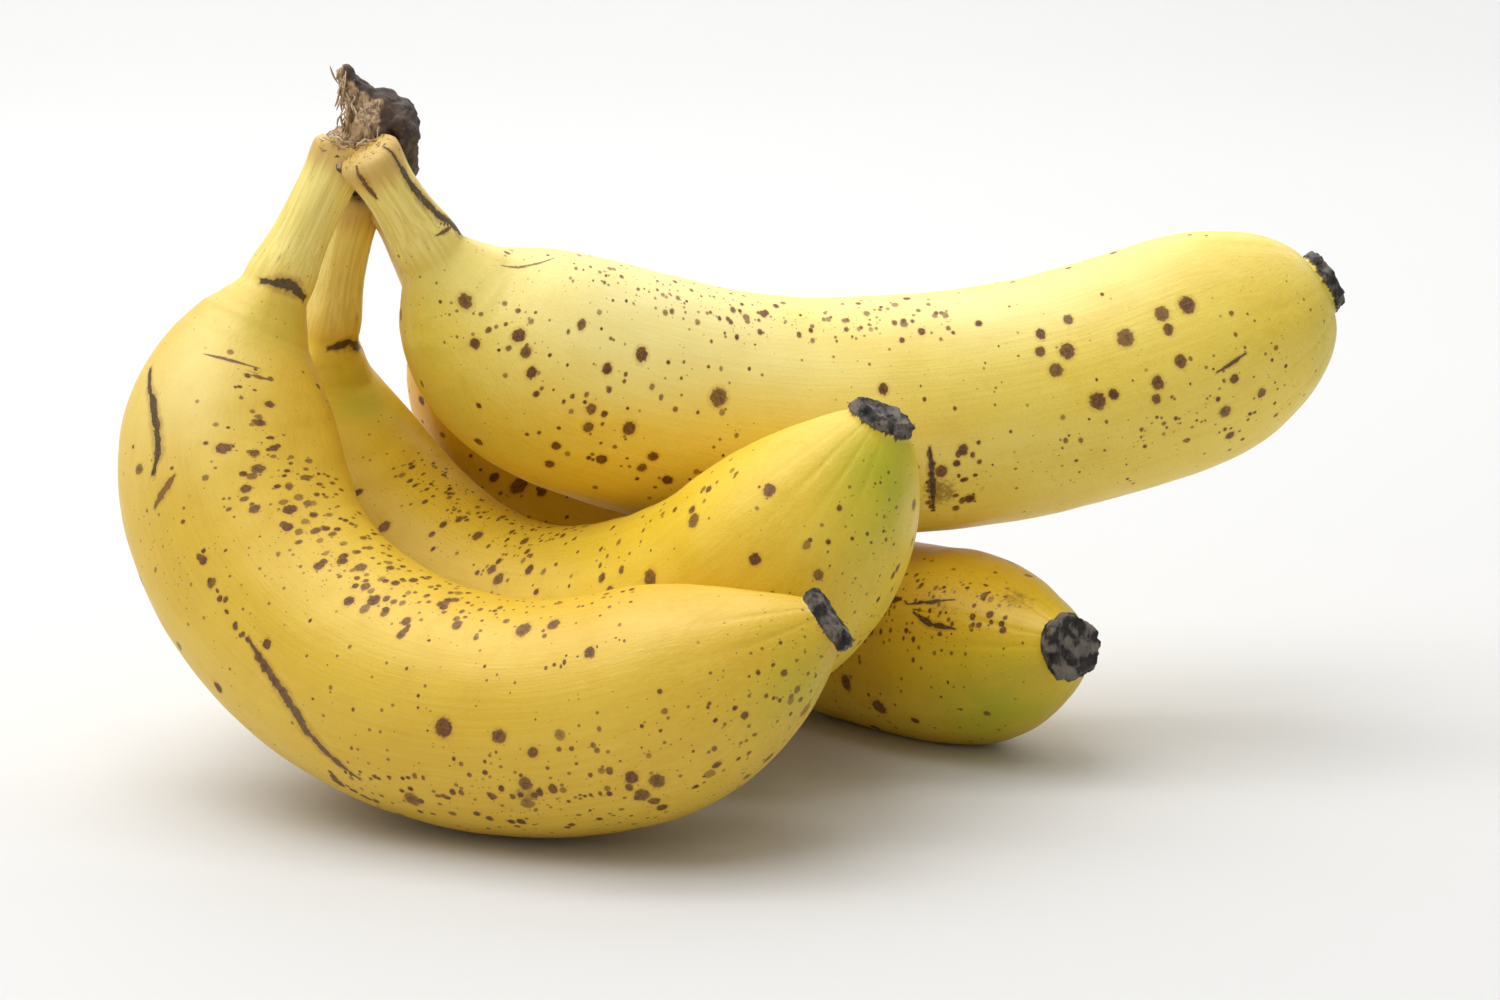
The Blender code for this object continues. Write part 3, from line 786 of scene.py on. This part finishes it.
# Scars and creases: points (mm, degrees), half width in mm, tone
SCARS = {
    "front": (
        Scar(((26.5, 84), (25.5, 60), (25.0, 34), (26.0, 8)), 0.95, 1.0),
        Scar(((46, 126), (51, 111), (55, 104), (59, 102), (62, 106)), 0.75, 0.95),
        Scar(((42, 84), (42, 68), (42, 50)), 0.22, 0.75),
        Scar(((44, 53), (44, 42)), 0.30, 0.6),
        Scar(((64, 94), (67, 109)), 0.70, 0.5),
        Scar(((95, 102), (99, 106), (105, 114), (112, 130), (118, 139)), 0.72, 0.8),
        Scar(((96, 200), (104, 212), (118, 222)), 0.70, 0.7),
    ),
    "second": (
        Scar(((28, 44), (27, 9), (29, -30)), 0.70, 1.0),
        Scar(((80, 190), (96, 200)), 0.60, 0.8),
        Scar(((130, 230), (136, 250), (140, 262)), 0.55, 0.7),
    ),
    "top": (
        Scar(((-4, 34), (4, 32), (11, 22), (17, 5), (20, -25)), 0.80, 1.0),
        Scar(((14, 48), (15, 18)), 0.40, 0.75),
        Scar(((-4, 116), (2, 114)), 0.50, 0.8),
        Scar(((26, 18), (30, 8), (35, -2)), 0.28, 0.3),
        Scar(((117, 78), (117.5, 94), (118, 114)), 0.45, 0.95),
        Scar(((170, 74), (175, 72)), 0.35, 0.85),
        Scar(((60, 250), (74, 258), (92, 255)), 0.60, 0.7),
    ),
    "low": (
        Scar(((34, 60), (33, 20), (35, -20)), 0.70, 1.0),
        Scar(((170, 20), (174, 25), (179, 26)), 0.50, 0.95),
        Scar(((168, 15), (173, 11), (177, 6)), 0.32, 0.9),
        Scar(((159, 19), (165, 13)), 0.60, 0.95),
        Scar(((90, 210), (102, 222)), 0.60, 0.8),
    ),
}
# Soft patches, laid out as the painted highlight patches above
GREEN = {
    "front": ((184, 152, 7, 9, 0.55), (32, 60, 6, 12, 0.25)),
    "second": ((188, 140, 10, 9, 0.90), (38, 10, 8, 9, 0.60)),
    "top": ((197, 120, 9, 12, 0.45), (28, 120, 26, 10, 0.30)),
    "low": ((182, 102, 13, 12, 0.85), (188, 250, 8, 12, 0.5)),
}
FRECKLES = {
    "front": (
        (95, 42, 40, 9, 0.50), (150, 140, 36, 10, 0.50), (168, 190, 26, 14, 0.45), (74, 112, 9, 5, 0.75),
        (100, 260, 60, 22, 0.20), (184, 160, 9, 14, 0.55), (90, 85, 70, 26, 0.07),
    ),
    "second": (
        (85, 4, 32, 8, 0.65), (176, 150, 16, 10, 0.40), (110, 230, 60, 30, 0.15), (120, 40, 60, 26, 0.08),
    ),
    "top": (
        (75, 8, 46, 6, 0.50), (155, 98, 30, 8, 0.25), (30, 80, 14, 12, 0.22), (185, 90, 12, 16, 0.20),
        (100, 250, 60, 30, 0.15), (90, 60, 70, 24, 0.07),
    ),
    "low": (
        (176, 12, 14, 8, 0.70), (150, 100, 34, 14, 0.22), (110, 230, 60, 26, 0.15),
    ),
}
BRUISES = {
    "front": ((144, 135, 3.0, 2.2, 0.60), (73, 112, 7, 4, 0.28), (157, 70, 5, 2, 0.22)),
    "second": ((168, 80, 4, 2, 0.25), (100, 2, 16, 3, 0.20)),
    "top": ((119, 103, 4.0, 5.5, 0.60), (30, 8, 5, 2.6, 0.30), (126, 104, 3.0, 3.0, 0.35)),
    "low": ((176, 14, 8, 3, 0.35), (187, 340, 5, 5, 0.5)),
}
# Main, pale and deep tones of each peel, and the tone of its fibres, 0 to 255 as seen. Partly painted
# light: the top fruit's tones are lighter and the front and low fruits' darker, to stand in for how the
# light falls on each.
PEEL_TONES_AND_PAINTED_LIGHT = {
    "front": ((220, 177, 37), (232, 195, 63), (208, 158, 24), (236, 203, 82)),
    "second": ((231, 195, 42), (241, 211, 68), (219, 175, 28), (246, 218, 88)),
    "top": ((243, 210, 66), (250, 225, 102), (232, 188, 42), (253, 233, 122)),
    "low": ((222, 178, 28), (234, 196, 48), (208, 156, 20), (238, 204, 66)),
}


def make_fruit(fruit):
    """One banana with its stalk, its marks and its flat spot; returns its centreline."""
    spine = Spine(fruit)
    rows = stations(fruit)
    turns = 2.0 * np.pi * np.arange(SIDES) / SIDES
    along, around = np.meshgrid(rows, turns, indexing="ij")
    radius = skin_radius(fruit, along, around)
    points = skin_point(spine, along, around, radius)
    height = points[..., 2]
    pressed = GROUND_GAP + GROUND_REACH * np.exp((height - GROUND_REACH) / GROUND_REACH) * GROUND_SHARE
    points[..., 2] = np.where(height < GROUND_REACH, pressed, height)
    obj = mesh_object(f"peel_{fruit.name}", points.reshape(-1, 3), tube_faces(RINGS, SIDES))
    mesh = obj.data
    mean = mean_radius(fruit, along)
    straight = np.stack([along + 7.0 * fruit.seed, mean * np.cos(around), mean * np.sin(around)], -1)
    add_attribute(mesh, "straight", "FLOAT_VECTOR", straight)
    to_end = fruit.stalk + fruit.body - along
    ragged = 2.5 * np.cos(around) + 1.2 * np.sin(3.0 * around + fruit.seed)
    neck = fruit.stalk - fruit.lead
    stalky = 1.0 - smooth(neck - 6.0, neck + 5.0, along + ragged)
    zones = np.stack([
        patch_field(along, around, mean, GREEN[fruit.name]),
        patch_field(along, around, mean, FRECKLES[fruit.name]),
        patch_field(along, around, mean, BRUISES[fruit.name]),
        stalky,
    ], -1)
    add_attribute(mesh, "zones", "FLOAT_COLOR", zones)
    ends = np.maximum(np.exp(-to_end / 1.6), 0.62 * np.exp(-(along + fruit.top) / 2.4))
    add_attribute(mesh, "ends", "FLOAT", ends)
    # painted highlight patches, where the broad gloss of the lamps falls
    add_attribute(mesh, "pale", "FLOAT", patch_field(along, around, mean, PAINTED_HIGHLIGHT[fruit.name]))
    add_attribute(mesh, "rim", "FLOAT", np.exp(-(((along + fruit.top) / 7.0) ** 2)))
    for k, layer in enumerate(layered(fruit, all_spots(fruit))):
        field = spot_field(along, around, np.maximum(mean, 6.0), layer)
        add_attribute(mesh, f"spots_{k}", "FLOAT_COLOR", field)
    field = scar_field(along, around, np.maximum(mean, 4.0), SCARS[fruit.name])
    add_attribute(mesh, "scars", "FLOAT_COLOR", field)
    add_strip_map(mesh, SIDES)
    mesh.materials.append(peel_material(f"peel_{fruit.name}", PEEL_TONES_AND_PAINTED_LIGHT[fruit.name]))
    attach(obj, "root")
    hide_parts(f"banana_{fruit.name}")
    return spine


# Half outline of a blossom end: radius and height over the tip, in mm
NUB_OUTLINE = (
    (4.6, -2.2), (5.5, -0.8), (5.8, 0.0), (5.6, 0.4), (5.6, 0.8), (5.5, 1.2), (5.3, 1.7), (4.9, 2.0),
    (4.4, 2.0), (3.9, 1.6), (3.3, 1.2), (2.7, 1.2), (2.0, 1.5), (1.2, 1.8), (0.5, 1.7),
)
NUB_SIDES = 96


def make_nub(fruit, spine, material):
    """Dried blossom end: a chunky knob with a torn, pitted face and a rim of broken fibres."""
    rng = np.random.default_rng(fruit.seed + 500)
    centre = spine.centre[-1]
    inward, across = spine.inward[-1], spine.across[-1]
    ahead = np.cross(inward, across)
    turns = 2.0 * np.pi * np.arange(NUB_SIDES) / NUB_SIDES
    fine = []
    for (r0, h0), (r1, h1) in zip(NUB_OUTLINE, NUB_OUTLINE[1:]):
        for t in np.linspace(0.0, 1.0, 4, endpoint=False):
            fine.append((r0 + (r1 - r0) * t, h0 + (h1 - h0) * t))
    fine.append(NUB_OUTLINE[-1])
    points, tones = [], []
    lobes = rng.uniform(0.0, 2.0 * np.pi, 4)
    for r, h in fine:
        rough = smooth(-1.5, 1.0, h)
        for t in turns:
            p = np.array((r * np.cos(t), r * np.sin(t), h))
            wide = 0.45 * np.sin(3.0 * t + lobes[0]) + 0.35 * np.sin(5.0 * t + lobes[1])
            wide += 0.18 * np.sin(8.0 * t + lobes[2]) + 0.08 * np.sin(13.0 * t + lobes[3])
            tall = 0.5 * np.sin(2.0 * t + lobes[2]) + 0.4 * np.sin(7.0 * t + lobes[1] * 2.0)
            p[:2] *= 1.0 + 0.11 * rough * wide * min(r / 4.0, 1.0)
            p[2] += 0.45 * tall * smooth(1.0, 4.0, h)
            points.append(p)
            tones.append(rough)
    points = np.array(points)
    lumpy = waves(points, 2.6, fruit.seed + 7) * 0.38 + waves(points, 1.2, fruit.seed + 8) * 0.22
    lumpy = lumpy + waves(points, 0.7, fruit.seed + 9) * 0.10
    out = points / np.linalg.norm(points + (0.0, 0.0, 1.0), axis=1, keepdims=True)
    points = points + out * (lumpy * np.array(tones))[:, None]
    world = centre + points[:, :1] * inward + points[:, 1:2] * across + points[:, 2:] * ahead
    obj = mesh_object(f"nub_{fruit.name}", world, tube_faces(len(fine), NUB_SIDES))
    tone = 0.35 + 0.5 * np.clip(waves(points, 3.0, fruit.seed + 10), -1.0, 1.0)
    add_attribute(obj.data, "tone", "FLOAT", tone)
    obj.data.materials.append(material)
    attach(obj, "root")
    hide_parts(f"blossom_end_{fruit.name}")


# ---- crown


def ball_points(middle, half, rows=14, columns=20):
    """A closed ellipsoid as points and faces."""
    points = [(middle[0], middle[1], middle[2] + half[2])]
    for i in range(1, rows):
        a = np.pi * i / rows
        for j in range(columns):
            b = 2.0 * np.pi * j / columns
            out = (np.sin(a) * np.cos(b), np.sin(a) * np.sin(b), np.cos(a))
            points.append(tuple(m + h * o for m, h, o in zip(middle, half, out)))
    points.append((middle[0], middle[1], middle[2] - half[2]))
    last = len(points) - 1
    faces = [(0, 1 + j, 1 + (j + 1) % columns) for j in range(columns)]
    for i in range(rows - 2):
        for j in range(columns):
            k = (j + 1) % columns
            a = 1 + i * columns
            faces.append((a + j, a + columns + j, a + columns + k, a + k))
    a = 1 + (rows - 2) * columns
    faces += [(last, a + (j + 1) % columns, a + j) for j in range(columns)]
    return points, faces


# Middle and half sizes of the lobes of dried tissue, in mm
CROWN_LOBES = (
    ((-74.0, 9.0, 107.5), (5.5, 12.0, 5.0)),
    ((-70.5, 9.5, 110.5), (5.5, 10.5, 5.5)),
    ((-70.2, 5.0, 113.0), (4.6, 6.0, 4.6)),
    ((-68.3, 8.0, 115.6), (4.4, 6.5, 3.6)),
    ((-65.6, 8.5, 113.6), (3.6, 7.0, 4.2)),
    ((-64.0, 8.0, 110.4), (2.6, 6.5, 5.0)),
    ((-63.9, 7.0, 106.6), (2.0, 5.0, 4.0)),
    ((-71.5, 6.5, 117.0), (3.4, 4.2, 3.4)),
    ((-73.0, 6.2, 119.4), (2.7, 3.4, 2.8)),
    ((-74.2, 6.0, 121.6), (2.1, 2.9, 2.2)),
    ((-75.4, 6.5, 109.6), (3.2, 4.4, 2.6)),
    ((-72.0, 2.0, 109.6), (6.0, 3.0, 2.2)),
    ((-72.0, 18.0, 103.5), (6.0, 6.0, 4.6)),
)


def make_crown():
    """Shrunken crown: dark lobes over the stalks and a torn stub with pale fibres."""
    points, faces = [], []
    for middle, half in CROWN_LOBES:
        more, sides = ball_points(middle, half)
        faces += [tuple(len(points) + k for k in f) for f in sides]
        points += more
    obj = mesh_object("crown_tissue", points, faces)
    remesh = obj.modifiers.new("join", "REMESH")
    remesh.mode = "VOXEL"
    remesh.voxel_size = CROWN_VOXEL * MM
    graph = bpy.context.evaluated_depsgraph_get()
    joined = bpy.data.meshes.new_from_object(obj.evaluated_get(graph), depsgraph=graph)
    obj.modifiers.clear()
    obj.data = joined
    place = np.zeros(len(joined.vertices) * 3)
    joined.vertices.foreach_get("co", place)
    place = place.reshape(-1, 3) / MM
    normal = np.zeros(len(joined.vertices) * 3)
    joined.vertices.foreach_get("normal", normal)
    normal = normal.reshape(-1, 3)
    # the torn face looks up and to the left of the stub
    torn = smooth(0.25, 0.75, normal @ np.array((-0.92, -0.30, 0.25)))
    torn = torn * smooth(109.5, 112.0, place[:, 2]) * smooth(-66.5, -70.5, place[:, 0])
    front = smooth(0.2, 0.8, normal @ np.array((-0.1, -0.75, 0.65)))
    front = front * smooth(-66.0, -69.5, place[:, 0]) * smooth(5.0, 2.0, place[:, 1])
    torn = np.maximum(torn, front)
    lumps = 0.45 * waves(place, 6.0, 71) + 0.20 * waves(place, 2.6, 72) + 0.09 * waves(place, 1.2, 73)
    folds = np.abs(waves(place * np.array((1.0, 0.5, 1.3)), 4.2, 74))
    lumps = lumps - 0.35 * (1.0 - np.clip(folds * 3.0, 0.0, 1.0)) * (1.0 - torn)
    fibre = waves(place * np.array((2.2, 2.2, 0.3)), 1.1, 75)
    lumps = lumps * (1.0 - 0.4 * torn) + torn * (0.34 * fibre - 0.9)
    place = place + normal * lumps[:, None]
    joined.vertices.foreach_set("co", (place * MM).ravel())
    joined.update()
    joined.shade_smooth()
    add_attribute(joined, "tone", "FLOAT", np.clip(torn * 1.15, 0.0, 1.0))
    joined.materials.clear()
    joined.materials.append(crown_material())
    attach(obj, "root")
    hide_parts("crown")
    make_fibres()


def crown_material():
    """Dark shrunken tissue, paler and fibrous where it is torn."""
    g = Graph("crown_tissue")
    where = g.node("ShaderNodeTexCoord").outputs["Object"]
    torn = g.attribute("tone", "Fac")
    lumps = g.noise(where, 220.0, 4.0, 0.6)
    grain = g.noise(g.scaled(where, (1.0, 1.0, 0.25)), 900.0, 4.0, 0.65)
    specks = g.noise(where, 1500.0, 3.0, 0.7)
    dark = g.mix(g.step(lumps, 0.35, 0.65), rgb(38, 27, 22), rgb(88, 66, 52))
    dark = g.mix(g.step(specks, 0.56, 0.72, 0.0, 0.55), dark, rgb(128, 100, 78))
    pale = g.mix(g.step(grain, 0.38, 0.62), rgb(92, 66, 44), rgb(200, 168, 126))
    colour = g.mix(g.step(g.uneven(torn, lumps, 0.9), 0.30, 0.62), dark, pale)
    g.set("Base Color", colour)
    g.set("Roughness", g.step(lumps, 0.3, 0.7, 0.48, 0.80))
    relief = g.bump(grain, 0.0003, 0.8)
    relief = g.bump(specks, 0.00015, 0.6, relief)
    g.set("Normal", relief)
    return g.material


def strand(points, thick):
    """Thin tube through these points, as points and faces."""
    line = np.array(points)
    count, sides = len(line), 5
    ahead = np.gradient(line, axis=0)
    ahead /= np.linalg.norm(ahead, axis=1, keepdims=True)
    side = np.cross(ahead, (0.31, 0.9, 0.12))
    side /= np.linalg.norm(side, axis=1, keepdims=True)
    over = np.cross(ahead, side)
    rings = []
    for i in range(count):
        r = thick * (1.0 - 0.65 * abs(2.0 * i / (count - 1) - 1.0) ** 2)
        for j in range(sides):
            a = 2.0 * np.pi * j / sides
            rings.append(line[i] + r * (np.cos(a) * side[i] + np.sin(a) * over[i]))
    return rings, tube_faces(count, sides)


def make_fibres():
    """Loose pale fibres over the torn face and round its edge."""
    rng = np.random.default_rng(5)
    points, faces, tones = [], [], []
    for _ in range(FIBRE_COUNT):
        if rng.random() < 0.45:
            start = np.array((rng.uniform(-76.5, -68.5), rng.uniform(-1.5, 1.0), rng.uniform(109.4, 111.2)))
            way = np.array((rng.uniform(-1.0, 1.0), rng.uniform(-0.25, 0.1), rng.uniform(-0.15, 0.5)))
            reach = rng.uniform(1.0, 2.8)
        else:
            height = rng.uniform(111.5, 121.0)
            middle = np.interp(height, (111.0, 115.0, 118.0, 122.0), (-73.2, -72.6, -73.8, -74.9))
            start = np.array((middle + rng.uniform(-0.9, 0.9), rng.uniform(2.2, 7.0), height))
            way = np.array((rng.uniform(-0.5, 0.25), rng.uniform(-0.2, 0.2), rng.choice((-1.0, 1.0))))
            reach = rng.uniform(1.5, 4.2)
        way /= np.linalg.norm(way)
        bend = rng.normal(0.0, 0.35, 3)
        t = np.linspace(0.0, 1.0, 9)[:, None]
        line = start + way * reach * t + bend * np.sin(np.pi * t) + 0.25 * rng.normal(0.0, 1.0, 3) * t**2
        line[:, 2] = np.minimum(line[:, 2], FIBRE_TOP)
        more, sides = strand(line, rng.uniform(0.12, 0.26))
        faces += [tuple(len(points) + i for i in f) for f in sides]
        points += more
        tones += [rng.uniform(0.0, 1.0)] * len(more)
    obj = mesh_object("crown_fibres", points, faces)
    add_attribute(obj.data, "tone", "FLOAT", tones)
    g = Graph("crown_fibre")
    where = g.node("ShaderNodeTexCoord").outputs["Object"]
    tone = g.attribute("tone", "Fac")
    colour = g.mix(tone, rgb(176, 140, 98), rgb(232, 212, 176))
    colour = g.mix(g.step(g.noise(where, 700.0, 3.0), 0.45, 0.70, 0.0, 0.7), colour, rgb(120, 88, 58))
    g.set("Base Color", colour)
    g.set("Roughness", g.step(g.noise(where, 900.0, 2.0), 0.3, 0.7, 0.65, 0.85))
    g.set("Normal", g.bump(g.noise(where, 2200.0, 2.0), 0.0001, 0.6))
    obj.data.materials.append(g.material)
    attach(obj, "root")


# ---- stage, light and camera


def make_stage():
    """Pale floor that curves up behind."""
    near, far, bend, top, half_width = -1400.0, 900.0, 600.0, 2600.0, 3000.0
    profile = [(near, 0.0), (far, 0.0)]
    for a in np.pi / 2.0 * np.arange(1, 13) / 12.0:
        profile.append((far + bend * np.sin(a), bend - bend * np.cos(a)))
    profile.append((far + bend, top))
    points, faces = [], []
    for y, z in profile:
        points.append((-half_width, y, z))
        points.append((half_width, y, z))
    for k in range(len(profile) - 1):
        faces.append((2 * k, 2 * k + 1, 2 * k + 3, 2 * k + 2))
    floor = mesh_object("floor", points, faces)
    g = Graph("floor_paper")
    where = g.node("ShaderNodeTexCoord").outputs["Object"]
    colour = g.mix(g.noise(where, 3.0, 2.0), rgb(212, 212, 212), rgb(216, 216, 216))
    g.set("Base Color", colour)
    g.set("Roughness", 0.65)
    floor.data.materials.append(g.material)


def area_light(name, place, target, size, power, colour=(1.0, 1.0, 1.0)):
    """Soft rectangular light, in metres and watts."""
    light = bpy.data.lights.new(name, "AREA")
    light.shape = "RECTANGLE"
    light.size, light.size_y = size
    light.energy = power
    light.color = colour
    obj = bpy.data.objects.new(name, light)
    bpy.context.scene.collection.objects.link(obj)
    obj.location = place
    obj.rotation_euler = (Vector(target) - Vector(place)).to_track_quat("-Z", "Y").to_euler()


def make_lights():
    area_light("overhead", (-0.42, -0.02, 1.05), (0.0, 0.0, 0.03), (1.4, 1.2), 12.6, (1.0, 0.99, 0.97))
    area_light("behind", (0.10, 1.0, 0.80), (0.0, 0.05, 0.06), (1.8, 0.8), 5.4)
    area_light("front_fill", (-0.7, -1.2, 0.55), (0.0, 0.0, 0.04), (0.9, 0.7), 0.25)
    area_light("sweep", (0.0, 0.6, 1.9), (0.0, 1.5, 0.6), (2.6, 0.6), 13.0)
    world = bpy.data.worlds.new("studio")
    bpy.context.scene.world = world
    world.use_nodes = True
    background = world.node_tree.nodes["Background"]
    background.inputs["Color"].default_value = (1.0, 1.0, 1.0, 1.0)
    background.inputs["Strength"].default_value = 0.42
    bpy.context.scene.view_settings.view_transform = "Standard"


def make_camera():
    """Slightly above and far off, as a long lens sees the bunch."""
    raised = np.radians(CAMERA_RAISED)
    right = np.array((1.0, 0.0, 0.0))
    up = np.array((0.0, np.sin(raised), np.cos(raised)))
    back = np.array((0.0, -np.cos(raised), np.sin(raised)))
    place = np.array(CAMERA_TARGET) + back * CAMERA_DISTANCE
    ahead = right * VIEW_RIGHT - up * VIEW_DOWN - back * CAMERA_DISTANCE
    ahead /= np.linalg.norm(ahead)
    side = np.cross(ahead, up)
    side /= np.linalg.norm(side)
    over = np.cross(side, ahead)
    camera = bpy.data.cameras.new("camera")
    camera.sensor_width = 36.0
    camera.lens = CAMERA_LENS
    obj = bpy.data.objects.new("camera", camera)
    bpy.context.scene.collection.objects.link(obj)
    turn = Matrix(np.stack([side, over, -ahead], axis=1).tolist()).to_4x4()
    obj.matrix_world = Matrix.Translation(Vector(place * MM)) @ turn
    bpy.context.scene.camera = obj


def main():
    dried = nub_material()
    for fruit in (FRONT, SECOND, TOP, LOW):
        spine = make_fruit(fruit)
        make_nub(fruit, spine, dried)
    make_crown()
    make_stage()
    make_lights()
    make_camera()
    bpy.context.view_layer.update()


main()
